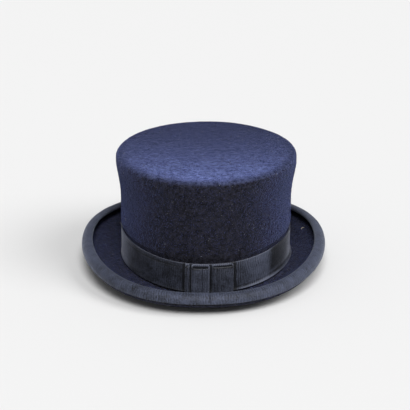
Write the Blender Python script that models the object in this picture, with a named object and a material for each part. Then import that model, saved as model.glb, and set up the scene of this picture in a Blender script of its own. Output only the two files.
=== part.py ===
"""A short felt top hat: an oval bell crown with a flat tip, a brim rolled up all round and bound in
grosgrain, and a grosgrain band with a flat bow at the back. Metres, +Z up, +Y towards the hat's front.
The hat stands on the underside of its brim, close to the crown, at the front and at the back."""

import math

import bmesh
import bpy
from mathutils import Vector

# Felt crown
crown_half_width = 0.0844  # outside, across the head, above the band
crown_half_length = 0.0996  # outside, from front to back, above the band
bell_spread = 0.0043  # how far the bell stands out at the tip, on every side
hat_height = 0.1150
tip_edge_radius = 0.0050
felt_thickness = 0.0025
band_recess = 0.0016  # how far the felt is drawn in under the band
recess_blend = 0.0060  # height over which the felt comes out again above the band
crown_side_offset = 0.0020  # the crown stands a little to the right of the brim's middle
crown_lean = 0.0008  # and its tip leans the same way

# Brim
brim_fold_radius = 0.0012  # inside corner where the crown turns into the brim
rest_ring_width = 0.0070  # flat ring of brim next to the crown
side_lift = 0.0062  # how much higher the brim joins the crown at the sides
rest_half_angle = math.radians(15)  # the brim lies flat this far to each side of the front and the back
upturn_share = 0.35  # part of the brim's width, past the flat ring, before it turns up

# Rolled edge: its centre line, seen from above and from the side, then its section
roll_half_width = 0.1140
roll_reach_back = 0.1430  # from the crown's middle
roll_reach_front = 0.1530
roll_squareness_back = 2.15  # 2 is an ellipse
roll_squareness_front = 2.05
roll_height_ends = 0.0143
roll_height_sides = 0.0232
roll_lift_sharpness = 3.7
roll_radius = 0.0062  # outside of the rolled felt
roll_end_angle = math.radians(100)  # from straight outward, over the top

# Grosgrain binding, folded over the felt's edge
binding_thickness = 0.0010
binding_outer_angle = math.radians(-8)  # where its outer leg ends
binding_inner_angle = math.radians(10)  # where its inner leg ends

# Grosgrain hat band
band_width = 0.0285
band_above_fold = 0.0009  # how far its lower edge stays above the fold of the brim
band_thickness = 0.0010

# Flat bow of three upright folds: places along the back, from the crown's middle, and depths off the band
bow_ribbon_thickness = 0.0009
bow_below_band_edge = 0.0020  # the bow's folds are this much lower than the band's upper edge
bow_above_brim_edge = 0.0006
loop_left = 0.0058
loop_right = 0.0252
loop_depth = 0.0050
knot_left = -0.0132
knot_right = 0.0034
knot_depth = 0.0058
knot_lower = 0.0014  # the knot's top lies this much below the loop's
pleat_left = -0.0190
pleat_right = -0.0151
pleat_depth = 0.0046
bow_corner_share = 0.9  # corner radius, as a share of half the smaller side

gap = 0.0003  # clearance between touching pieces

sections_round = 56
tip_rings = (0.0, 0.40, 0.75)  # shares of the flat tip's radius
edge_steps = 4
fold_steps = 2
brim_steps = 4
roll_steps = 7
binding_leg_steps = 5
binding_wrap_steps = 4
band_steps = 4
bow_face_steps = 4
bow_corner_steps = 4

# The bell above the band: height share, share of bell_spread
BELL = (
    (0.00, 0.00),
    (0.30, 0.00),
    (0.44, 0.03),
    (0.57, 0.19),
    (0.70, 0.47),
    (0.81, 0.76),
    (0.91, 0.97),
    (1.00, 1.00),
)

crown_middle_y = (roll_reach_back - roll_reach_front) / 2
roll_inner_radius = roll_radius - felt_thickness
band_foot = brim_fold_radius + band_above_fold  # height of the band's lower edge above the brim
band_top = band_foot + band_width


def lift_share(angle, sharpness):
    """0 over the flat rests at front and back, 1 at the sides."""
    flat = math.sin(rest_half_angle) ** sharpness
    return max(0.0, (abs(math.cos(angle)) ** sharpness - flat) / (1 - flat))


def brim_level(angle):
    """Height of the brim's upper face where it meets the crown."""
    return felt_thickness + side_lift * lift_share(angle, 2)


def crown_point(angle, offset, z):
    """A point that lies outside the crown's plain oval by offset."""
    x = crown_side_offset + crown_lean * z / hat_height + (crown_half_width + offset) * math.cos(angle)
    y = crown_middle_y + (crown_half_length + offset) * math.sin(angle)
    return Vector((x, y, z))


def roll_line(angle):
    """The rolled edge's centre, and the direction straight outward from it."""
    half_length, squareness = roll_reach_front, roll_squareness_front
    if math.sin(angle) < 0:
        half_length, squareness = roll_reach_back, roll_squareness_back
    across = math.copysign(abs(math.cos(angle)) ** (2 / squareness), math.cos(angle))
    along = math.copysign(abs(math.sin(angle)) ** (2 / squareness), math.sin(angle))
    lift = (roll_height_sides - roll_height_ends) * lift_share(angle, roll_lift_sharpness)
    centre = Vector((roll_half_width * across, crown_middle_y + half_length * along, roll_height_ends + lift))
    normal_x = math.copysign(abs(across) ** (squareness - 1), across) / roll_half_width
    normal_y = math.copysign(abs(along) ** (squareness - 1), along) / half_length
    return centre, Vector((normal_x, normal_y, 0)).normalized()


def brim_point(angle, reach, z):
    """A point of the brim or its roll, reach outward of the crown's foot."""
    if reach <= 0:
        return crown_point(angle, reach - band_recess, z)
    foot = crown_point(angle, -band_recess, 0)
    roll, outward = roll_line(angle)
    foot.z = z
    roll.z = z
    width = (roll - foot).length
    if reach < width:
        return foot.lerp(roll, reach / width)
    return roll + outward * (reach - width)


def roll_centre(angle):
    """Reach and height of the rolled edge's centre."""
    foot = crown_point(angle, -band_recess, 0)
    roll = roll_line(angle)[0]
    return (Vector((roll.x, roll.y, 0)) - foot).length, roll.z


def arc(steps, start, end):
    return [start + (end - start) * step / steps for step in range(steps + 1)]


def crown_wall(angle):
    """Offset and height of the felt's outer face, from the tip's edge down to the brim."""
    level = brim_level(angle)
    foot, head = level + band_top + recess_blend, hat_height - tip_edge_radius
    rows = [(bell_spread * spread, foot + (head - foot) * height) for height, spread in reversed(BELL)]
    rows.append((-band_recess / 2, level + band_top + recess_blend / 2))
    rows.append((-band_recess, level + band_top))
    rows.append((-band_recess, level + brim_fold_radius))
    return rows


def crown_faces(angle):
    """The crown's outer and inner points, from the tip's middle down to the brim's fold."""
    outer, inner = [], []
    middle = Vector((crown_side_offset + crown_lean, crown_middle_y, hat_height))
    rim = crown_point(angle, bell_spread - tip_edge_radius, hat_height)
    for share in tip_rings:
        outer.append(middle.lerp(rim, share))
        inner.append(outer[-1] - Vector((0, 0, felt_thickness)))
    for turn in arc(edge_steps, math.pi / 2, 0):
        for face, radius in ((outer, tip_edge_radius), (inner, tip_edge_radius - felt_thickness)):
            offset = bell_spread - tip_edge_radius + radius * math.cos(turn)
            height = hat_height - tip_edge_radius + radius * math.sin(turn)
            face.append(crown_point(angle, offset, height))
    for offset, z in crown_wall(angle)[1:]:
        outer.append(crown_point(angle, offset, z))
        inner.append(crown_point(angle, offset - felt_thickness, z))
    return outer, inner


def brim_faces(angle):
    """The brim's upper and under points, from the crown's fold to the end of the roll."""
    level = brim_level(angle)
    width, roll_z = roll_centre(angle)
    middles = []  # reach, height and the upper face's direction of each station
    for turn in arc(fold_steps, 0, math.pi / 2)[1:]:
        reach = brim_fold_radius * (1 - math.cos(turn))
        middles.append((reach, level + brim_fold_radius * (1 - math.sin(turn)), math.cos(turn), math.sin(turn)))
    ring = brim_fold_radius + rest_ring_width
    middles.append((ring, level, 0.0, 1.0))
    slope = math.atan2(roll_z - roll_inner_radius - level, (width - ring) * (1 - upturn_share))
    start = slope - math.pi / 2
    end_reach = width + roll_inner_radius * math.cos(start)
    end_z = roll_z + roll_inner_radius * math.sin(start)
    bend = ring + (end_reach - ring) * upturn_share
    for step in range(1, brim_steps + 1):
        s = step / brim_steps
        reach = (1 - s) ** 2 * ring + 2 * s * (1 - s) * bend + s * s * end_reach
        z = (1 - s * s) * level + s * s * end_z
        run = (1 - s) * (bend - ring) + s * (end_reach - bend)
        rise = s * (end_z - level)
        length = math.hypot(run, rise)
        middles.append((reach, z, -rise / length, run / length))
    for turn in arc(roll_steps, start, roll_end_angle)[1:]:
        reach = width + roll_inner_radius * math.cos(turn)
        middles.append((reach, roll_z + roll_inner_radius * math.sin(turn), -math.cos(turn), -math.sin(turn)))
    upper = [brim_point(angle, reach, z) for reach, z, out, up in middles]
    under = [
        brim_point(angle, reach - felt_thickness * out, z - felt_thickness * up)
        for reach, z, out, up in middles
    ]
    return upper, under


def felt_section(angle):
    outer, inner = crown_faces(angle)
    upper, under = brim_faces(angle)
    return outer + upper + under[::-1] + inner[::-1]


def binding_section(angle):
    """A ribbon folded over the felt's edge: an outer leg, the wrap and a hidden inner leg."""
    width, roll_z = roll_centre(angle)
    across = Vector((math.cos(roll_end_angle), math.sin(roll_end_angle)))
    onward = Vector((-across.y, across.x))
    middle = roll_radius - felt_thickness / 2
    wrap = felt_thickness / 2 + gap
    faces = []
    for lay in (0.0, binding_thickness):
        face = []
        for turn in arc(binding_leg_steps, binding_outer_angle, roll_end_angle):
            face.append((roll_radius + gap + lay) * Vector((math.cos(turn), math.sin(turn))))
        for turn in arc(binding_wrap_steps, 0, math.pi)[1:-1]:
            face.append(middle * across + (wrap + lay) * (math.cos(turn) * across + math.sin(turn) * onward))
        for turn in arc(binding_leg_steps, roll_end_angle, binding_inner_angle):
            face.append((roll_inner_radius - gap - lay) * Vector((math.cos(turn), math.sin(turn))))
        faces.append(face)
    return [brim_point(angle, width + p.x, roll_z + p.y) for p in faces[0] + faces[1][::-1]]


def band_section(angle):
    """The ribbon stands straight, on the felt that it has drawn in."""
    level = brim_level(angle)
    heights = arc(band_steps, level + band_foot, level + band_top)
    near = [crown_point(angle, gap - band_recess, z) for z in heights]
    far = [crown_point(angle, gap + band_thickness - band_recess, z) for z in heights]
    return far + near[::-1]


def band_back_point(across, stand_off, z):
    """A point off the band's outer face, across to the right of the crown's middle."""
    offset = gap + band_thickness - band_recess
    angle = -math.acos(across / (crown_half_width + offset))
    face = crown_point(angle, offset, z)
    length, width = crown_half_length + offset, crown_half_width + offset
    normal = Vector((length * math.cos(angle), width * math.sin(angle), 0)).normalized()
    return face + normal * stand_off


def fold_outline(left, right, depth, inset):
    """An upright fold seen from above, as places along the band and off it: a rounded oblong."""
    radius = bow_corner_share * min(right - left, depth) / 2
    corners = (
        (right - radius, gap + radius, -90),
        (right - radius, gap + depth - radius, 0),
        (left + radius, gap + depth - radius, 90),
        (left + radius, gap + radius, 180),
    )
    outline = []
    for across, stand_off, start in corners:
        for turn in arc(bow_corner_steps, math.radians(start), math.radians(start + 90)):
            reach = radius - inset
            outline.append((across + reach * math.cos(turn), stand_off + reach * math.sin(turn)))
        if start in (0, 180):
            last = outline[-1]
            far_end = left + radius if start == 0 else right - radius
            for step in range(1, bow_face_steps):
                share = step / bow_face_steps
                outline.append((last[0] + (far_end - last[0]) * share, last[1]))
    return outline


def loft(name, sections, pole=False):
    """One closed body through closed sections laid round in a ring. With a pole, each section is
    open and its two ends lie on the axis, where they meet the others."""
    bm = bmesh.new()
    rings = [[bm.verts.new(point) for point in section] for section in sections]
    count = len(rings[0])
    for ring, following in zip(rings, rings[1:] + rings[:1]):
        for here in range(count - 1 if pole else count):
            there = (here + 1) % count
            bm.faces.new((ring[here], ring[there], following[there], following[here]))
    bmesh.ops.remove_doubles(bm, verts=bm.verts, dist=1e-7)
    bmesh.ops.recalc_face_normals(bm, faces=bm.faces)
    mesh = bpy.data.meshes.new(name)
    bm.to_mesh(mesh)
    bm.free()
    mesh.shade_smooth()
    mesh.set_sharp_from_angle(angle=math.radians(40))
    body = bpy.data.objects.new(name, mesh)
    hat.objects.link(body)
    return body


def fold(name, left, right, depth, lowered=0.0):
    """An upright, flattened loop of ribbon, open above and below."""
    level = brim_level(-math.pi / 2)
    low = level + band_foot + bow_above_brim_edge
    high = level + band_top - bow_below_band_edge - lowered
    outside = fold_outline(left, right, depth, 0.0)
    inside = fold_outline(left, right, depth, bow_ribbon_thickness)
    sections = []
    for (x1, d1), (x2, d2) in zip(outside, inside):
        sections.append(
            [
                band_back_point(x1, d1, low),
                band_back_point(x1, d1, high),
                band_back_point(x2, d2, high),
                band_back_point(x2, d2, low),
            ]
        )
    return loft(name, sections)


def finish(name, colour, roughness):
    material = bpy.data.materials.new(name)
    material.use_nodes = True
    shader = material.node_tree.nodes["Principled BSDF"]
    shader.inputs["Base Color"].default_value = (*colour, 1.0)
    shader.inputs["Roughness"].default_value = roughness
    shader.inputs["Metallic"].default_value = 0.0
    return material


for old in list(bpy.data.objects):
    bpy.data.objects.remove(old, do_unlink=True)

hat = bpy.data.collections.new("top_hat")
bpy.context.scene.collection.children.link(hat)

angles = [math.tau * i / sections_round for i in range(sections_round)]

navy_felt = finish("navy_wool_felt", (0.013, 0.014, 0.040), 0.95)
binding_grosgrain = finish("slate_grosgrain", (0.055, 0.070, 0.110), 0.70)
band_grosgrain = finish("dark_grosgrain", (0.025, 0.028, 0.042), 0.65)

felt_body = loft("felt_body", [felt_section(angle) for angle in angles], pole=True)
brim_binding = loft("brim_binding", [binding_section(angle) for angle in angles])
hat_band = loft("hat_band", [band_section(angle) for angle in angles])
bow_loop = fold("bow_loop", loop_left, loop_right, loop_depth)
bow_knot = fold("bow_knot", knot_left, knot_right, knot_depth, knot_lower)
bow_pleat = fold("bow_pleat", pleat_left, pleat_right, pleat_depth)

felt_body.data.materials.append(navy_felt)
brim_binding.data.materials.append(binding_grosgrain)
for ribbon in (hat_band, bow_loop, bow_knot, bow_pleat):
    ribbon.data.materials.append(band_grosgrain)
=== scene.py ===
"""The looks of a short navy top hat: wool felt, a bound and rolled brim, a ribbon band and a flat bow.
Metres, +Z up. The hat is seen from behind, so the bow is on its -Y side and faces the camera."""

import math

import bmesh
import bpy
from mathutils import Matrix, Vector, noise


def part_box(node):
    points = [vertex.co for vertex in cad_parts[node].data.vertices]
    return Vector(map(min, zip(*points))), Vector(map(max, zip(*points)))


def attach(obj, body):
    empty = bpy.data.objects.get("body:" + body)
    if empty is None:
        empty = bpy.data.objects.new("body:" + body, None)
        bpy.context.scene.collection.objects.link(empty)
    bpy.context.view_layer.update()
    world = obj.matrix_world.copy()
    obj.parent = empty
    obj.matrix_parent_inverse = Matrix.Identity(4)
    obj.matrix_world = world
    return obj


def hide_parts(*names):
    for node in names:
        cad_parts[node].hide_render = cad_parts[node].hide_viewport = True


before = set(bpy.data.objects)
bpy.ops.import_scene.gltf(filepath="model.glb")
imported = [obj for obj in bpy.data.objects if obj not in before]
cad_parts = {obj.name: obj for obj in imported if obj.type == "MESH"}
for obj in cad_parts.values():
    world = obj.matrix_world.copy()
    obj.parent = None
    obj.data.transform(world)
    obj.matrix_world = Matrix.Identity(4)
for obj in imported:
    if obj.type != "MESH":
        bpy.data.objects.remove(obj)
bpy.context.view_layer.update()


# The camera of the picture. It stands 1.6 m behind the hat and looks down on it by 19.4 degrees,
# level with the middle of the crown, so that the crown's near face and the flat tip both show.
view_distance = 1.6
view_elevation = math.radians(19.43)
view_height = 0.0575
view_side = 0.0015
frame_width_px = 410
focal_px = 1604.4
sensor_width_mm = 36.0

band_low, band_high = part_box("hat_band")
crown_middle = (band_low + band_high) / 2

camera_data = bpy.data.cameras.new("picture_camera")
camera_data.sensor_width = sensor_width_mm
camera_data.lens = focal_px / frame_width_px * sensor_width_mm
camera_data.clip_start = 0.1
camera_data.clip_end = 20
camera = bpy.data.objects.new("picture_camera", camera_data)
bpy.context.scene.collection.objects.link(camera)
backward = Vector((0, -math.cos(view_elevation), math.sin(view_elevation)))
camera.location = Vector((view_side, crown_middle.y, view_height)) + view_distance * backward
camera.rotation_euler = backward.to_track_quat("Z", "Y").to_euler()
bpy.context.scene.camera = camera


# The felt body: crown, flat tip and brim in one piece of wool felt, pulled over a wooden block, with
# the brim's edge curled up over a cord and pressed. It is a sheet about 2.5 mm thick.
felt_low, felt_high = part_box("felt_body")
roll_low, roll_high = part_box("brim_binding")
felt_thickness = 0.0025
tip_edge_radius = 0.0050
bell_spread = 0.0043
crown_lean = 0.0008
band_recess = 0.0016
recess_blend = 0.0060
fold_radius = 0.0012
rest_ring = 0.0070
side_lift = 0.0062
rest_half_angle = math.radians(15)
upturn_share = 0.35
band_clearance = 0.0003
band_thickness = 0.0010
band_foot = 0.0021
band_width = 0.0285
roll_radius = 0.0062
roll_end_angle = math.radians(100)
squareness_back = 2.15
squareness_front = 2.05
roll_height_ends = 0.0143
roll_height_sides = 0.0232
roll_lift_sharpness = 3.7
binding_reach = 0.0075  # from the roll's middle to the outside of the binding
segments_round = 288  # of the felt
tip_rows = 23  # points along the felt's profile, on the tip
edge_rows = 9  # on the tip's edge
side_rows = 34  # on the crown's side, above the band

band_face = band_clearance + band_thickness - band_recess  # the band's outside, off the crown's plain oval
half_width = (band_high.x - band_low.x) / 2 - band_face
half_length = (band_high.y - band_low.y) / 2 - band_face
hat_height = felt_high.z
band_top = band_foot + band_width
roll_inner = roll_radius - felt_thickness
roll_half_width = (roll_high.x - roll_low.x) / 2 - binding_reach
roll_back = crown_middle.y - roll_low.y - binding_reach
roll_front = roll_high.y - crown_middle.y - binding_reach

# The bell of the crown above the band: share of its height, share of its spread
BELL = (
    (0.00, 0.00),
    (0.30, 0.00),
    (0.44, 0.03),
    (0.57, 0.19),
    (0.70, 0.47),
    (0.81, 0.76),
    (0.91, 0.97),
    (1.00, 1.00),
)


def smooth(share):
    """0 to 1, level at both ends."""
    share = min(1.0, max(0.0, share))
    return share * share * (3 - 2 * share)


def steps(count, start, end):
    return [start + (end - start) * i / count for i in range(count + 1)]


def bell(height):
    """How far the crown stands out at a share of its height, on a smooth line through the table."""
    rows = [row for row in zip(BELL, BELL[1:]) if row[0][0] <= height + 1e-9]
    (low, spread), (high, wider) = rows[-1]
    before = BELL[max(0, BELL.index((low, spread)) - 1)]
    after = BELL[min(len(BELL) - 1, BELL.index((high, wider)) + 1)]
    step = high - low
    turn = (height - low) / step
    start = (wider - before[1]) / (high - before[0]) * step
    end = (after[1] - spread) / (after[0] - low) * step
    one, two, three = turn, turn**2, turn**3
    return (
        (2 * three - 3 * two + 1) * spread
        + (three - 2 * two + one) * start
        + (3 * two - 2 * three) * wider
        + (three - two) * end
    )


def lift(angle, sharpness):
    """0 where the brim lies flat at the front and the back, 1 at the sides."""
    flat = math.sin(rest_half_angle) ** sharpness
    return max(0.0, (abs(math.cos(angle)) ** sharpness - flat) / (1 - flat))


def brim_level(angle):
    return felt_thickness + side_lift * lift(angle, 2)


def crown_point(angle, offset, z):
    """A point offset outside the plain oval of the head."""
    leaned = crown_middle.x + crown_lean * (z - crown_middle.z) / hat_height
    x = leaned + (half_width + offset) * math.cos(angle)
    y = crown_middle.y + (half_length + offset) * math.sin(angle)
    return Vector((x, y, z))


def roll_line(angle):
    """The middle of the rolled edge, and the direction straight outward."""
    behind = math.sin(angle) < 0
    reach = roll_back if behind else roll_front
    squareness = squareness_back if behind else squareness_front
    across = math.copysign(abs(math.cos(angle)) ** (2 / squareness), math.cos(angle))
    along = math.copysign(abs(math.sin(angle)) ** (2 / squareness), math.sin(angle))
    rise = (roll_height_sides - roll_height_ends) * lift(angle, roll_lift_sharpness)
    middle = Vector((roll_half_width * across, crown_middle.y + reach * along, roll_height_ends + rise))
    out_x = math.copysign(abs(across) ** (squareness - 1), across) / roll_half_width
    out_y = math.copysign(abs(along) ** (squareness - 1), along) / reach
    return middle, Vector((out_x, out_y, 0)).normalized()


def roll_place(angle):
    """How far the roll's middle lies from the crown's foot, and its height."""
    foot = crown_point(angle, -band_recess, 0)
    middle = roll_line(angle)[0]
    return (Vector((middle.x, middle.y, 0)) - foot).length, middle.z


def brim_point(angle, reach, z):
    """A point of the brim or of its roll, reach outward of the crown's foot."""
    if reach <= 0:
        return crown_point(angle, reach - band_recess, z)
    foot = crown_point(angle, -band_recess, 0)
    middle, outward = roll_line(angle)
    foot.z = middle.z = z
    width = (middle - foot).length
    if reach < width:
        return foot.lerp(middle, reach / width)
    return middle + outward * (reach - width)


def felt_profile(angle):
    """The felt's outer face at one place round the hat, from the middle of the tip to the end of the roll.
    Each point goes with the share of the felt's small unevenness that it may have."""
    points = []
    middle = Vector((crown_middle.x + crown_lean / 2, crown_middle.y, hat_height))
    rim = crown_point(angle, bell_spread - tip_edge_radius, hat_height)
    for share in steps(tip_rows - 1, 0.004, 1):
        points.append((middle.lerp(rim, share), 1.0))
    for turn in steps(edge_rows, math.pi / 2, 0)[1:]:
        offset = bell_spread - tip_edge_radius + tip_edge_radius * math.cos(turn)
        points.append((crown_point(angle, offset, hat_height - tip_edge_radius * (1 - math.sin(turn))), 1.0))
    level = brim_level(angle)
    foot, head = level + band_top + recess_blend, hat_height - tip_edge_radius
    for height in steps(side_rows, 1, 0)[1:]:
        place = crown_point(angle, bell_spread * bell(height), foot + (head - foot) * height)
        points.append((place, smooth(height * 6)))
    for share in steps(5, 0, 1)[1:]:
        points.append((crown_point(angle, -band_recess * smooth(share), foot - recess_blend * share), 0.0))
    for z in steps(7, level + band_top, level + fold_radius)[1:]:
        points.append((crown_point(angle, -band_recess, z), 0.0))
    width, roll_z = roll_place(angle)
    for turn in steps(5, 0, math.pi / 2)[1:]:
        reach = fold_radius * (1 - math.cos(turn))
        points.append((brim_point(angle, reach, level + fold_radius * (1 - math.sin(turn))), 0.0))
    ring = fold_radius + rest_ring
    for reach in steps(4, fold_radius, ring)[1:]:
        points.append((brim_point(angle, reach, level), 0.06))
    slope = math.atan2(roll_z - roll_inner - level, (width - ring) * (1 - upturn_share))
    start = slope - math.pi / 2
    end_reach, end_z = width + roll_inner * math.cos(start), roll_z + roll_inner * math.sin(start)
    bend = ring + (end_reach - ring) * upturn_share
    for s in steps(18, 0, 1)[1:]:
        reach = (1 - s) ** 2 * ring + 2 * s * (1 - s) * bend + s * s * end_reach
        points.append((brim_point(angle, reach, (1 - s * s) * level + s * s * end_z), smooth((1 - s) * 4)))
    for turn in steps(16, start, roll_end_angle)[1:]:
        reach, z = width + roll_inner * math.cos(turn), roll_z + roll_inner * math.sin(turn)
        points.append((brim_point(angle, reach, z), 0.0))
    return points


def turns(count):
    """Even angles all round the hat."""
    return steps(count, 0, math.tau)[:-1]


def spin_sheet(profile_of, angles):
    """Spins a line of points round the hat, then presses each turn of it to the profile at its own angle."""
    profiles = [profile_of(angle) for angle in angles]
    bm = bmesh.new()
    station = bm.verts.layers.int.new("station")
    column = bm.verts.layers.int.new("column")
    line = []
    for number in range(len(profiles[0])):
        vert = bm.verts.new((1.0, 0.0, -float(number)))
        vert[station] = number
        line.append(vert)
    edges = [bm.edges.new(pair) for pair in zip(line, line[1:])]
    bmesh.ops.spin(
        bm,
        geom=line + edges,
        cent=(0, 0, 0),
        axis=(0, 0, 1),
        angle=math.tau,
        steps=len(angles),
        use_merge=True,
    )
    for vert in bm.verts:
        vert[column] = round(math.atan2(vert.co.y, vert.co.x) / math.tau * len(angles)) % len(angles)
        vert.co = profiles[vert[column]][vert[station]]
    return bm


def face_out(bm, toward):
    """Turns all faces the way in which the furthest one toward that side has to look."""
    bmesh.ops.recalc_face_normals(bm, faces=bm.faces)
    furthest = max(bm.faces, key=lambda face: face.calc_center_median().dot(toward))
    if furthest.normal.dot(toward) < 0:
        bmesh.ops.reverse_faces(bm, faces=bm.faces)


def make_piece(name, bm, material, wall=0.0):
    """Makes the modelled sheet an object. A wall gives it its thickness, behind the faces that show."""
    mesh = bpy.data.meshes.new(name)
    bm.to_mesh(mesh)
    bm.free()
    mesh.shade_smooth()
    mesh.materials.append(material)
    piece = bpy.data.objects.new(name, mesh)
    bpy.context.scene.collection.objects.link(piece)
    if wall:
        solid = piece.modifiers.new("wall", "SOLIDIFY")
        solid.thickness = wall
        solid.offset = -1
        solid.use_even_offset = True
    return piece


dents_per_metre = 22
dent_height = 0.00045
lumps_per_metre = 130
lump_height = 0.00012


def felt_unevenness(point):
    """The felt's own waviness: wide soft dents and finer lumps where the wool lies thicker."""
    wide = noise.noise(point * dents_per_metre)
    fine = noise.noise(point * lumps_per_metre + Vector((5, 1, 9)))
    return dent_height * wide + lump_height * fine


def felt_points(angle):
    points = []
    for point, share in felt_profile(angle):
        away = Vector((point.x - crown_middle.x, point.y - crown_middle.y, 0.05)).normalized()
        points.append(point + away * (share * felt_unevenness(point)))
    return points


def linear(code):
    """An sRGB hex colour as linear light, with full opacity."""
    channels = [int(code[i : i + 2], 16) / 255 for i in (1, 3, 5)]
    return [c / 12.92 if c <= 0.04045 else ((c + 0.055) / 1.055) ** 2.4 for c in channels] + [1.0]


def add(tree, kind, settings=None, sockets=None):
    """Adds a node. settings are its own properties; a socket takes a value or another node's output."""
    made = tree.nodes.new(kind)
    for key, value in (settings or {}).items():
        setattr(made, key, value)
    for key, value in (sockets or {}).items():
        if isinstance(value, bpy.types.NodeSocket):
            tree.links.new(value, made.inputs[key])
        else:
            made.inputs[key].default_value = value
    return made


def new_material(name, sockets):
    """A material whose shader has these values on its own sockets."""
    material = bpy.data.materials.new(name)
    material.use_nodes = True
    shader = material.node_tree.nodes["Principled BSDF"]
    for key, value in sockets.items():
        shader.inputs[key].default_value = value
    return material, material.node_tree, shader


# Blocked wool felt: a dense mat of dyed fibres, so matt and nearly black from in front, with a violet-blue
# glow where it is seen along its nap. Its clumps are about 1.4 mm across. The tip is painted paler: a painted
# highlight for the light and sheen on it, with some brushed nap, lightest near the bow. On the brim the felt
# is pressed flat and glows less.
clump_mm = 1.4
tuft_mm = 4.0
cloud_mm = 14
tip_highlight_low = hat_height - 0.0040
tip_highlight_high = hat_height - 0.0004
rim_fade = 0.85  # the tip's painted highlight thins from here out, as a share of the way to the tip's rim


def wool_felt(name, sheen, dark, light):
    material, tree, shader = new_material(
        name,
        {
            "Roughness": 0.95,
            "IOR": 1.4,
            "Specular IOR Level": 0.12,
            "Sheen Weight": sheen,
            "Sheen Roughness": 0.1,
            "Sheen Tint": linear("#8695dc"),
        },
    )
    place = add(tree, "ShaderNodeTexCoord").outputs["Object"]
    clumps = add(
        tree,
        "ShaderNodeTexNoise",
        sockets={"Vector": place, "Scale": 1000 / clump_mm, "Detail": 3.0, "Roughness": 0.7},
    )
    tufts = add(
        tree,
        "ShaderNodeTexNoise",
        sockets={"Vector": place, "Scale": 1000 / tuft_mm, "Detail": 3.0},
    )
    clouds = add(
        tree,
        "ShaderNodeTexNoise",
        sockets={"Vector": place, "Scale": 1000 / cloud_mm, "Detail": 4.0},
    )
    matted = add(
        tree,
        "ShaderNodeMath",
        {"operation": "MULTIPLY_ADD"},
        {0: tufts.outputs["Fac"], 1: 0.7, 2: clumps.outputs["Fac"]},
    )
    grain = add(
        tree,
        "ShaderNodeMapRange",
        sockets={"Value": matted.outputs[0], "From Min": 0.66, "From Max": 1.04},
    )
    axes = add(tree, "ShaderNodeSeparateXYZ", sockets={0: place})
    on_tip = add(
        tree,
        "ShaderNodeMapRange",
        {"interpolation_type": "SMOOTHSTEP"},
        {"Value": axes.outputs["Z"], "From Min": tip_highlight_low, "From Max": tip_highlight_high},
    )
    lighter_toward_bow = add(
        tree,
        "ShaderNodeMapRange",
        sockets={
            "Value": axes.outputs["Y"],
            "From Min": crown_middle.y + half_length * 0.8,
            "From Max": crown_middle.y - half_length,
            "To Min": 0.2,
        },
    )
    lighter_toward_bow = add(tree, "ShaderNodeMath", {"operation": "POWER"}, {0: lighter_toward_bow.outputs[0], 1: 2.3})
    patchy = add(
        tree,
        "ShaderNodeMapRange",
        sockets={
            "Value": clouds.outputs["Fac"],
            "From Min": 0.3,
            "From Max": 0.7,
            "To Min": 0.6,
            "To Max": 1.0,
        },
    )
    from_middle = add(
        tree,
        "ShaderNodeMapping",
        {"vector_type": "TEXTURE"},
        {
            "Vector": place,
            "Location": (crown_middle.x + crown_lean / 2, crown_middle.y, hat_height),
            "Scale": (half_width + bell_spread, half_length + bell_spread, 1.0),
        },
    )
    to_rim = add(tree, "ShaderNodeVectorMath", {"operation": "LENGTH"}, {0: from_middle.outputs[0]})
    off_rim = add(
        tree,
        "ShaderNodeMapRange",
        {"interpolation_type": "SMOOTHSTEP"},
        {
            "Value": to_rim.outputs["Value"],
            "From Min": 1.0,
            "From Max": rim_fade,
            "To Min": 0.25,
        },
    )
    # The painted highlight on the tip: lighter toward the bow, thinner near the rim, in patches.
    tip_highlight = on_tip
    for thinned in (lighter_toward_bow, off_rim, patchy):
        tip_highlight = add(
            tree,
            "ShaderNodeMath",
            {"operation": "MULTIPLY"},
            {0: tip_highlight.outputs[0], 1: thinned.outputs[0]},
        )
    flat = add(
        tree,
        "ShaderNodeMix",
        {"data_type": "RGBA"},
        {0: grain.outputs[0], 6: linear(dark), 7: linear(light)},
    )
    # Painted highlight: this paler colour stands in for the light and sheen on the tip, patchy like brushed
    # nap.
    brushed_and_lit = add(
        tree,
        "ShaderNodeMix",
        {"data_type": "RGBA"},
        {0: grain.outputs[0], 6: linear("#141d48"), 7: linear("#8f9ee2")},
    )
    colour = add(
        tree,
        "ShaderNodeMix",
        {"data_type": "RGBA"},
        {0: tip_highlight.outputs[0], 6: flat.outputs[2], 7: brushed_and_lit.outputs[2]},
    )
    bump = add(
        tree,
        "ShaderNodeBump",
        sockets={"Height": matted.outputs[0], "Strength": 1.0, "Distance": 0.0016},
    )
    tree.links.new(colour.outputs[2], shader.inputs["Base Color"])
    tree.links.new(bump.outputs["Normal"], shader.inputs["Normal"])
    return material


felt = wool_felt("blocked_wool_felt", 1.0, "#101014", "#2d2d37")
pressed_felt = wool_felt("pressed_wool_felt", 0.4, "#0a0a0d", "#33333d")

bm = spin_sheet(felt_points, turns(segments_round))
centre_ring = [edge for edge in bm.edges if edge.is_boundary and edge.verts[0].co.z > hat_height - 0.001]
bmesh.ops.contextual_create(bm, geom=centre_ring)
face_out(bm, Vector((0, 0, 1)))

station = bm.verts.layers.int["station"]
for face in bm.faces:
    pressed = min(vert[station] for vert in face.verts) >= tip_rows + edge_rows + side_rows
    face.material_index = int(pressed)
felt_hat = make_piece("felt_hat", bm.copy(), felt, felt_thickness)
felt_hat.data.materials.append(pressed_felt)
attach(felt_hat, "root")
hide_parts("felt_body")


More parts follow.
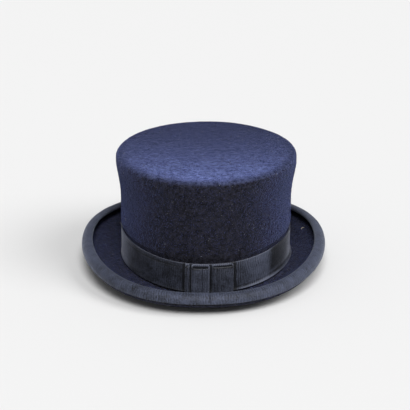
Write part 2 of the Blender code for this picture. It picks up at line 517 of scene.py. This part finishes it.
# The nap: loose wool ends that stand out of the felt and soften its outline. Each is a thin pointed sliver
# that lies nearly along the surface, thicker than a real fibre so that it shows. A few are undyed.
nap_density = 320000  # a square metre
nap_seed = 7
pale_share = 0.010
pale_growth = 0.1
nap_least = (0.00008, 0.00008, 0.0005)  # half width twice, length
nap_most = (0.00018, 0.00018, 0.0017)
nap_rise = 0.5
nap, tree, shader = new_material(
    "loose_wool_fibre",
    {
        "Roughness": 0.9,
        "Specular IOR Level": 0.2,
        "Sheen Weight": 0.9,
        "Sheen Roughness": 0.2,
        "Sheen Tint": linear("#8695dc"),
    },
)
pale = add(tree, "ShaderNodeAttribute", {"attribute_name": "pale"})
colour = add(
    tree,
    "ShaderNodeMix",
    {"data_type": "RGBA"},
    {0: pale.outputs["Fac"], 6: linear("#3c4574"), 7: linear("#a9abb0")},
)
tree.links.new(colour.outputs[2], shader.inputs["Base Color"])

tree = bpy.data.node_groups.new("scatter_nap", "GeometryNodeTree")
tree.interface.new_socket("Geometry", in_out="INPUT", socket_type="NodeSocketGeometry")
tree.interface.new_socket("Geometry", in_out="OUTPUT", socket_type="NodeSocketGeometry")
face = add(tree, "NodeGroupInput").outputs[0]
points = add(
    tree,
    "GeometryNodeDistributePointsOnFaces",
    sockets={"Mesh": face, "Density": nap_density, "Seed": nap_seed},
)
any_way = add(
    tree,
    "FunctionNodeRandomValue",
    {"data_type": "FLOAT_VECTOR"},
    {0: (-1, -1, -1), 1: (1, 1, 1), "Seed": 1},
)
along = add(
    tree,
    "ShaderNodeVectorMath",
    {"operation": "CROSS_PRODUCT"},
    {0: points.outputs["Normal"], 1: any_way.outputs[0]},
)
along = add(tree, "ShaderNodeVectorMath", {"operation": "NORMALIZE"}, {0: along.outputs[0]})
rise = add(tree, "FunctionNodeRandomValue", {"data_type": "FLOAT"}, {2: 0.0, 3: nap_rise, "Seed": 2})
up = add(
    tree,
    "ShaderNodeVectorMath",
    {"operation": "SCALE"},
    {0: points.outputs["Normal"], "Scale": rise.outputs[1]},
)
heading = add(tree, "ShaderNodeVectorMath", {"operation": "ADD"}, {0: along.outputs[0], 1: up.outputs[0]})
turned = add(tree, "FunctionNodeAlignRotationToVector", {"axis": "Z"}, {"Vector": heading.outputs[0]})
size = add(
    tree,
    "FunctionNodeRandomValue",
    {"data_type": "FLOAT_VECTOR"},
    {0: nap_least, 1: nap_most, "Seed": 3},
)
sliver = add(
    tree,
    "GeometryNodeMeshCone",
    {"fill_type": "NGON"},
    {"Vertices": 3, "Radius Top": 0.0, "Radius Bottom": 1.0, "Depth": 1.0},
)
undyed = add(
    tree,
    "FunctionNodeRandomValue",
    {"data_type": "BOOLEAN"},
    {"Probability": pale_share, "Seed": 4},
)
larger = add(
    tree,
    "ShaderNodeMath",
    {"operation": "MULTIPLY_ADD"},
    {0: undyed.outputs[3], 1: pale_growth, 2: 1.0},
)
scale = add(
    tree,
    "ShaderNodeVectorMath",
    {"operation": "SCALE"},
    {0: size.outputs[0], "Scale": larger.outputs[0]},
)
placed = add(
    tree,
    "GeometryNodeInstanceOnPoints",
    sockets={
        "Points": points.outputs["Points"],
        "Instance": sliver.outputs["Mesh"],
        "Rotation": turned.outputs[0],
        "Scale": scale.outputs[0],
    },
)
marked = add(
    tree,
    "GeometryNodeStoreNamedAttribute",
    {"data_type": "FLOAT", "domain": "INSTANCE"},
    {"Geometry": placed.outputs[0], "Name": "pale", "Value": undyed.outputs[3]},
)
joined = add(tree, "GeometryNodeRealizeInstances", sockets={"Geometry": marked.outputs[0]})
coated = add(tree, "GeometryNodeSetMaterial", sockets={"Geometry": joined.outputs[0], "Material": nap})
add(tree, "NodeGroupOutput", sockets={0: coated.outputs[0]})

bare = {number for number, (_, share) in enumerate(felt_profile(0)) if share < 0.05}
covered = [face for face in bm.faces if any(vert[station] in bare for vert in face.verts)]
bmesh.ops.delete(bm, geom=covered, context="FACES")
for face in bm.faces:
    face.material_index = 0
felt_nap = make_piece("felt_nap", bm, nap)
felt_nap.modifiers.new("scatter", "NODES").node_group = tree
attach(felt_nap, "root")


# A bit of pale lint on the right of the brim: one cotton fibre, curled and lying on the felt.
lint_angle = math.radians(20)
lint_x = 0.1030
lint_curl = 0.0014
lint_radius = 0.00030
lint_turn = math.radians(215)
lint_tilt = math.radians(-20)
lint, tree, shader = new_material("cotton_lint", {"Base Color": linear("#cfc7a4"), "Roughness": 0.9})
brim_part = [point for point, _ in felt_profile(lint_angle) if point.z < 0.03]
spot = min(brim_part, key=lambda point: abs(point.x - lint_x))
bm = bmesh.new()
bmesh.ops.create_circle(bm, cap_ends=True, segments=6, radius=lint_radius)
bmesh.ops.rotate(bm, verts=bm.verts, cent=(0, 0, 0), matrix=Matrix.Rotation(math.pi / 2, 3, "X"))
bmesh.ops.translate(bm, verts=bm.verts, vec=(lint_curl, 0, 0))
tube = list(bm.verts) + list(bm.edges) + list(bm.faces)
bmesh.ops.spin(bm, geom=tube, cent=(0, 0, 0), axis=(0, 0, 1), angle=lint_turn, steps=12)
bmesh.ops.rotate(bm, verts=bm.verts, cent=(0, 0, 0), matrix=Matrix.Rotation(lint_tilt, 3, "Y"))
bmesh.ops.translate(bm, verts=bm.verts, vec=spot + Vector((0, 0, lint_radius)))
bmesh.ops.recalc_face_normals(bm, faces=bm.faces)
lint_piece = make_piece("lint_on_brim", bm, lint)
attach(lint_piece, "root")


# The brim's binding: slate grosgrain ribbon folded over the felt's edge and sewn, with its outer leg
# wrapped round the roll. Its ends meet in a join at the back, just right of the bow's knot.
binding_thickness = 0.0010
binding_outer_angle = math.radians(-8)
binding_inner_angle = math.radians(10)
join_across = 0.0060
join_half_width = 0.0004
join_depth = 0.0005
binding_segments = 640
join_segments = 16
binding_clearance = 0.0003
binding_slack = 0.00016


def near(value, middle, reach):
    """1 at the middle, falling smoothly to 0 at its reach on both sides."""
    return smooth(1 - abs(value - middle) / reach)


def binding_points(angle):
    """The binding's outer face: up the outside of the roll, round the felt's edge, and down inside."""
    width, roll_z = roll_place(angle)
    across = Vector((math.cos(roll_end_angle), math.sin(roll_end_angle)))
    onward = Vector((-across.y, across.x))
    middle = roll_radius - felt_thickness / 2
    from_join = abs(roll_line(angle)[0].x - join_across)
    sunk = join_depth * smooth(1.6 - from_join / join_half_width) if math.sin(angle) < 0 else 0.0
    wrap = felt_thickness / 2 + binding_clearance + binding_thickness - sunk
    outside = roll_radius + binding_clearance + binding_thickness - sunk
    inside = roll_inner - binding_clearance - binding_thickness
    face = []
    for turn in steps(18, binding_outer_angle, roll_end_angle):
        loose = binding_slack * noise.noise(Vector((math.cos(angle) * 9, math.sin(angle) * 9, turn * 2)))
        face.append(Vector((math.cos(turn), math.sin(turn))) * (outside + loose))
    for turn in steps(10, 0, math.pi)[1:-1]:
        face.append(middle * across + wrap * (math.cos(turn) * across + math.sin(turn) * onward))
    for turn in steps(10, roll_end_angle, binding_inner_angle):
        face.append(Vector((math.cos(turn), math.sin(turn))) * inside)
    return [brim_point(angle, width + p.x, roll_z + p.y) for p in face]


def ribbon_nodes(tree, shader, dark, light, phase, ridge, blotch_mm, rib_contrast):
    """Grosgrain's cross ribs, its thread noise and its faded patches. phase is the ribs' angle, and the
    piece's own tone_and_light attribute tells how pale the ribbon is there, painted light and shade included."""
    tone_and_light = add(tree, "ShaderNodeAttribute", {"attribute_name": "tone_and_light"})
    place = add(tree, "ShaderNodeTexCoord").outputs["Object"]
    thread = add(tree, "ShaderNodeTexNoise", sockets={"Vector": place, "Scale": 1000 / 1.3, "Detail": 2.0})
    patches = add(
        tree,
        "ShaderNodeTexNoise",
        sockets={"Vector": place, "Scale": 1000 / blotch_mm, "Detail": 3.0},
    )
    jitter = add(
        tree,
        "ShaderNodeMath",
        {"operation": "MULTIPLY_ADD"},
        {0: patches.outputs["Fac"], 1: 14.0, 2: phase},
    )
    rib = add(tree, "ShaderNodeMath", {"operation": "SINE"}, {0: jitter.outputs[0]})
    groups = add(tree, "ShaderNodeTexNoise", sockets={"Vector": place, "Scale": 1000 / 6.0, "Detail": 1.0})
    strong = add(
        tree,
        "ShaderNodeMapRange",
        sockets={
            "Value": groups.outputs["Fac"],
            "From Min": 0.35,
            "From Max": 0.65,
            "To Max": 2 * rib_contrast,
        },
    )
    relief = add(
        tree,
        "ShaderNodeMath",
        {"operation": "MULTIPLY_ADD"},
        {0: rib.outputs[0], 1: strong.outputs[0], 2: thread.outputs["Fac"]},
    )
    shade = add(
        tree,
        "ShaderNodeMath",
        {"operation": "MULTIPLY_ADD"},
        {0: patches.outputs["Fac"], 1: 0.9, 2: relief.outputs[0]},
    )
    factor = add(
        tree,
        "ShaderNodeMapRange",
        sockets={
            "Value": shade.outputs[0],
            "From Min": 0.45,
            "From Max": 1.45,
            "To Min": -0.5,
            "To Max": 0.5,
        },
    )
    factor = add(
        tree,
        "ShaderNodeMath",
        {"operation": "ADD", "use_clamp": True},
        {0: factor.outputs[0], 1: tone_and_light.outputs["Fac"]},
    )
    colour = add(
        tree,
        "ShaderNodeMix",
        {"data_type": "RGBA"},
        {0: factor.outputs[0], 6: linear(dark), 7: linear(light)},
    )
    bump = add(
        tree,
        "ShaderNodeBump",
        sockets={"Height": relief.outputs[0], "Strength": 0.8, "Distance": ridge},
    )
    tree.links.new(colour.outputs[2], shader.inputs["Base Color"])
    tree.links.new(bump.outputs["Normal"], shader.inputs["Normal"])


def ribs_round(tree, girth, pitch):
    """The angle of ribs that stand a pitch apart all round the hat."""
    place = add(tree, "ShaderNodeTexCoord").outputs["Object"]
    axes = add(tree, "ShaderNodeSeparateXYZ", sockets={0: place})
    along = add(tree, "ShaderNodeMath", {"operation": "SUBTRACT"}, {0: axes.outputs["Y"], 1: crown_middle.y})
    turn = add(tree, "ShaderNodeMath", {"operation": "ARCTAN2"}, {0: along.outputs[0], 1: axes.outputs["X"]})
    count = float(round(girth / pitch))
    return add(tree, "ShaderNodeMath", {"operation": "MULTIPLY"}, {0: turn.outputs[0], 1: count}).outputs[0]


def write_tone_and_light(bm, tone_of):
    """Writes the tone_and_light attribute of a spun sheet: its tone together with its painted light and shade.
    """
    layer = bm.verts.layers.float.new("tone_and_light")
    station, column = bm.verts.layers.int["station"], bm.verts.layers.int["column"]
    for vert in bm.verts:
        vert[layer] = tone_of(vert[column], vert[station])


# Grosgrain is a ribbed ribbon of matt filament. Its real ribs are under 1 mm apart, too fine to show here,
# so they are drawn 2.2 mm apart on the binding and the band, as the picture shows them in groups.
rib_pitch = 0.0022
slate, tree, shader = new_material(
    "slate_grosgrain_ribbon",
    {
        "Roughness": 0.62,
        "Specular IOR Level": 0.3,
        "Sheen Weight": 0.35,
        "Sheen Roughness": 0.4,
        "Sheen Tint": linear("#aab2c4"),
    },
)
roll_girth = math.pi * (2 * roll_half_width + roll_back + roll_front) / 2
ribbon_nodes(
    tree,
    shader,
    dark="#0e1016",
    light="#4c5267",
    phase=ribs_round(tree, roll_girth, rib_pitch),
    ridge=0.0006,
    blotch_mm=8,
    rib_contrast=0.11,
)

join_angle = -math.acos((join_across / roll_half_width) ** (squareness_back / 2)) % math.tau
join_spread = 3 * join_half_width / roll_half_width
binding_angles = turns(binding_segments)
binding_angles += steps(join_segments, join_angle - join_spread, join_angle + join_spread)
binding_angles.sort()
bm = spin_sheet(binding_points, binding_angles)


def binding_tone_and_light(column, station):
    """Paler on the right and at the far left and a little darker left of the middle, all painted light and
    shade; dark in the join.
    """
    angle = binding_angles[column]
    side = math.cos(angle)
    painted_side_light = 0.14 * smooth((side - 0.2) / 0.6) + 0.3 * smooth((-side - 0.8) / 0.15)
    painted_side_light -= 0.1 * near(side, -0.55, 0.4)
    return 0.45 + painted_side_light - 0.25 * near(angle, join_angle, join_spread * 0.6)


write_tone_and_light(bm, binding_tone_and_light)
face_out(bm, Vector((1, 0, 0)))
rolled_binding = make_piece("rolled_binding", bm, slate, binding_thickness)
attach(rolled_binding, "root")
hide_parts("brim_binding")


# The hat band: dark grosgrain ribbon pulled tight round the foot of the crown. Its selvedges are painted paler
# as painted highlights, the lower one springs out over the fold of the brim, and right of the bow it puckers
# where it was drawn in.
band_segments = 1080
band_rows = sorted(steps(24, 0, 1) + [0.015, 0.03, 0.06, 0.84, 0.86, 0.90, 0.94, 0.97, 0.985], reverse=True)
selvedge = 0.0009
selvedge_bead = 0.00018
band_slack = 0.00012
flare = 0.0005
flare_right = 0.0011
pucker_pitch = 0.0027
pucker_depth = 0.0007
stitch_line = 0.86
stitch_depth = 0.00025
BOW_SHADES = (  # painted shade on the band beside the folds of the bow: share of the half width, reach
    (-0.246, 0.024),
    (-0.168, 0.012),
    (0.055, 0.012),
    (0.322, 0.035),
)


def pucker(angle, share):
    """How high the puckers stand at one place: slanting waves right of the bow, and none elsewhere."""
    side, behind = math.cos(angle), smooth(-math.sin(angle) * 5 + 0.5)
    extent = behind * smooth((side - 0.29) / 0.06) * smooth((0.86 - side) / 0.25)
    slant = angle * half_length + 0.006 * (share - 0.5) * smooth((side - 0.3) / 0.4)
    drift = noise.noise(Vector((slant * 90, share * 3, 2)))
    wave = 0.5 + 0.5 * math.sin(slant / pucker_pitch * math.tau + 6 * drift)
    return extent * wave * (0.45 + share * 0.55) * (1 + drift)


def band_points(angle):
    """The band's outside at one place round the crown, from its upper to its lower selvedge."""
    level = brim_level(angle)
    side, behind = math.cos(angle), smooth(-math.sin(angle) * 5 + 0.5)
    at_right = smooth((side - 0.3) / 0.4)
    stitched = behind * smooth((-side - 0.25) / 0.1) * smooth((side + 0.97) / 0.05)
    points = []
    for share in band_rows:
        z = level + band_foot + band_width * share
        rim = min(share, 1 - share) * band_width
        offset = band_face + selvedge_bead * smooth((selvedge - rim) / selvedge * 2)
        offset += (flare + flare_right * at_right) * smooth(1 - share / 0.14) ** 2
        offset += pucker_depth * pucker(angle, share)
        offset -= stitch_depth * stitched * near(share, stitch_line, 0.03)
        offset += band_slack * (1 + noise.noise(Vector((math.cos(angle) * 5, math.sin(angle) * 5, share * 3))))
        points.append(crown_point(angle, offset, z))
    return points


def band_tone_and_light(angle, share):
    """How pale the ribbon is at one place, most of it painted light and shade: painted highlights on its upper
    selvedge, at its left edge, on a stretch right of the bow, on the flared lower selvedge and on the tops of
    its puckers. Painted shade darkens its hollow at the right, the line above the flared selvedge, a stretch
    right of the bow and the band beside the folds of the bow; the stitch line is darker too."""
    side, behind = math.cos(angle), smooth(-math.sin(angle) * 5 + 0.5)
    left_highlight = smooth((-side - 0.84) / 0.1)
    lit_stretch = 0.35 * near(side, 0.60, 0.30)
    hollow_shade = near(side, 0.83, 0.15) * smooth((share - 0.2) / 0.15)
    flare_light_and_shade = smooth((side - 0.25) / 0.2) * (smooth(1 - share / 0.06) - 0.6 * near(share, 0.11, 0.06))
    line = near(share, stitch_line, 0.035) * smooth((-side - 0.25) / 0.1) * (1 - left_highlight)
    bow_shade = max(near(side, place, reach) for place, reach in BOW_SHADES)
    tone_and_light = 0.55 * left_highlight + lit_stretch - 0.75 * hollow_shade + 0.6 * flare_light_and_shade - 0.35 * line - 0.6 * bow_shade
    tone_and_light += 0.5 * pucker(angle, share) - 0.12 * smooth((side - 0.3) / 0.05) * smooth((0.7 - side) / 0.2)
    return 0.2 + behind * tone_and_light + 0.25 * smooth((share - 0.955) / 0.03)


# The dark ribbon is finer grosgrain: nearly black, with a low gloss that its ribs break up, and blue-grey
# where it is painted paler as painted highlights. The band and the bow each have their own, because their ribs
# run their own way.
ribbon_dark = "#111319"
ribbon_pale_and_lit = "#53586a"


def dark_grosgrain(name):
    return new_material(
        name,
        {
            "Roughness": 0.5,
            "Specular IOR Level": 0.45,
            "Sheen Weight": 0.5,
            "Sheen Roughness": 0.3,
            "Sheen Tint": linear("#b4b8c8"),
        },
    )


dark_ribbon, tree, shader = dark_grosgrain("dark_grosgrain_ribbon")
band_girth = math.pi * (half_width + half_length)
ribbon_nodes(
    tree,
    shader,
    dark=ribbon_dark,
    light=ribbon_pale_and_lit,
    phase=ribs_round(tree, band_girth, rib_pitch),
    ridge=0.0004,
    blotch_mm=9,
    rib_contrast=0.08,
)
band_angles = turns(band_segments)
bm = spin_sheet(band_points, band_angles)
write_tone_and_light(bm, lambda column, station: band_tone_and_light(band_angles[column], band_rows[station]))
face_out(bm, Vector((1, 0, 0)))
ribbon_band = make_piece("ribbon_band", bm, dark_ribbon, band_thickness)
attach(ribbon_band, "root")
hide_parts("hat_band")


# The flat bow: three upright folds of the same ribbon, sewn to the band at the back of the hat. Each is a
# flattened tube, open above and below, whose back layer shows above its front one.
bow_ribbon = 0.0009
above_selvedge = 0.0006
below_selvedge = 0.0020
bow_bottom = brim_level(-math.pi / 2) + band_foot + above_selvedge
bow_top = brim_level(-math.pi / 2) + band_top - below_selvedge
fold_rows = 40
front_slack = 0.0003
back_layer_rise = 0.0017
scallop_pitch = 0.0019
scallop_height = 0.0004
corner_share = 0.9
FOLDS = {  # left, right, depth off the band, how much lower its top is, how pale it is
    "bow_loop": (0.0058, 0.0252, 0.0050, 0.0, 0.29),
    "bow_knot": (-0.0132, 0.0034, 0.0058, 0.0008, 0.44),
    "bow_pleat": (-0.0190, -0.0151, 0.0046, 0.0, 0.34),
}
CREASES = {  # across, width, depth of each crease down a fold's front
    "bow_loop": ((0.0098, 0.0012, 0.0003), (0.0142, 0.0014, 0.0003), (0.0190, 0.0015, 0.0003)),
    "bow_knot": ((-0.0036, 0.0012, 0.0007), (0.0007, 0.0012, 0.0009)),
    "bow_pleat": (),
}


def back_point(across, stand_off, z):
    """A point off the band's outside, across to the right of the crown's middle."""
    angle = -math.acos(across / (half_width + band_face))
    length, width = half_length + band_face, half_width + band_face
    away = Vector((length * math.cos(angle), width * math.sin(angle), 0)).normalized()
    return crown_point(angle, band_face, z) + away * stand_off


def fold_line(left, right, depth):
    """A fold seen from above, as places across the back and off the band."""
    radius = corner_share * min(right - left, depth) / 2
    back, front = band_clearance + radius, band_clearance + depth - radius
    corners = (  # across, off the band, where its arc starts
        (right - radius, back, -90),
        (right - radius, front, 0),
        (left + radius, front, 90),
        (left + radius, back, 180),
    )
    line = []
    for x, y, start in corners:
        for turn in steps(7, math.radians(start), math.radians(start + 90)):
            line.append((x + radius * math.cos(turn), y + radius * math.sin(turn)))
        if start in (0, 180):
            end = left + radius if start == 0 else right - radius
            line += [(share, line[-1][1]) for share in steps(48, line[-1][0], end)[1:-1]]
    return line


dark_bow, tree, shader = dark_grosgrain("dark_grosgrain_bow")
place = add(tree, "ShaderNodeTexCoord").outputs["Object"]
axes = add(tree, "ShaderNodeSeparateXYZ", sockets={0: place})
ribs_across = add(
    tree,
    "ShaderNodeMath",
    {"operation": "MULTIPLY"},
    {0: axes.outputs["X"], 1: math.tau / rib_pitch},
)
ribbon_nodes(
    tree,
    shader,
    dark=ribbon_dark,
    light=ribbon_pale_and_lit,
    phase=ribs_across.outputs[0],
    ridge=0.0004,
    blotch_mm=9,
    rib_contrast=0.09,
)

for node_name, (left, right, depth, lowered, paleness) in FOLDS.items():
    line = fold_line(left, right, depth)
    bm = bmesh.new()
    tone_and_light = bm.verts.layers.float.new("tone_and_light")
    ring = bmesh.ops.create_circle(bm, segments=len(line), radius=1)["verts"]
    edges = list({edge for vert in ring for edge in vert.link_edges})
    rows = [ring]
    for row in range(fold_rows):
        made = bmesh.ops.extrude_edge_only(bm, edges=edges)["geom"]
        edges = [item for item in made if isinstance(item, bmesh.types.BMEdge) and len(item.link_faces) == 1]
        rows.append([item for item in made if isinstance(item, bmesh.types.BMVert)])
    for height, row in enumerate(rows):
        share = height / fold_rows
        row = sorted(row, key=lambda vert: math.atan2(vert.co.y, vert.co.x) % math.tau)
        for vert, (across, stand_off) in zip(row, line):
            front = smooth((stand_off - band_clearance) / depth)
            for crease_at, crease_width, crease_depth in CREASES[node_name]:
                groove = smooth(1 - abs(across - crease_at) / crease_width)
                stand_off -= crease_depth * groove * front
            stand_off -= front_slack * front * (1 + noise.noise(Vector((across * 90, share * 1.5, 4))))
            top = bow_top - lowered + (back_layer_rise + lowered) * (1 - front)
            top += scallop_height * math.sin(across / scallop_pitch * math.tau) * (1 - front)
            vert.co = back_point(across, stand_off, bow_bottom + (top - bow_bottom) * share)
            # Painted light and shade on each fold: painted shade inside the tube and under the front layer's
            # top, painted highlights along the back layer's scalloped top edge and down the fold's right edge.
            inside = (1 - front) ** 3
            top_edge_highlight = 0.6 + 0.4 * math.sin(across / scallop_pitch * math.tau)
            vert[tone_and_light] = paleness - 0.8 * inside + 2.2 * inside * top_edge_highlight * smooth((share - 0.94) / 0.02)
            vert[tone_and_light] += 0.5 * front * near(across, right, 0.0014) * smooth((share - 0.4) / 0.3)
            vert[tone_and_light] -= 0.35 * front * smooth((share - 0.94) / 0.04)
    face_out(bm, Vector((0, -1, 0)))
    fold = make_piece(node_name + "_ribbon", bm, dark_bow, bow_ribbon)
    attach(fold, "root")
    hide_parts(node_name)


# The stage: a pale floor without a horizon, a wide soft light from the right and the camera's side, and
# pale surroundings.
floor_half = 6.0
world_strength = 0.27
key_from = (0.05, -1.0, 1.25)
key_spread = 0.5
key_strength = 2.45
fill_from = (1.2, -0.5, 1.2)
fill_spread = 0.6
fill_strength = 1.4
# Matt white paper: pale and without gloss, so that only the hat's shadow shows on it.
paper, tree, shader = new_material("matt_white_paper", {"Base Color": linear("#e4e4e4"), "Roughness": 0.9})
bm = bmesh.new()
bmesh.ops.create_grid(bm, x_segments=1, y_segments=1, size=floor_half)
floor = make_piece("studio_floor", bm, paper)

world = bpy.data.worlds.new("pale_studio")
world.use_nodes = True
world.node_tree.nodes["Background"].inputs["Color"].default_value = linear("#ffffff")
world.node_tree.nodes["Background"].inputs["Strength"].default_value = world_strength
bpy.context.scene.world = world


def soft_light(name, place, spread, strength):
    """A wide light so far off that it lights the floor evenly, coming from the side where place is."""
    data = bpy.data.lights.new(name, "SUN")
    data.angle = spread
    data.energy = strength
    lamp = bpy.data.objects.new(name, data)
    lamp.location = place
    lamp.rotation_euler = Vector(place).to_track_quat("Z", "Y").to_euler()
    bpy.context.scene.collection.objects.link(lamp)


soft_light("key_light", key_from, key_spread, key_strength)
soft_light("fill_light", fill_from, fill_spread, fill_strength)
bpy.context.scene.view_settings.view_transform = "Standard"
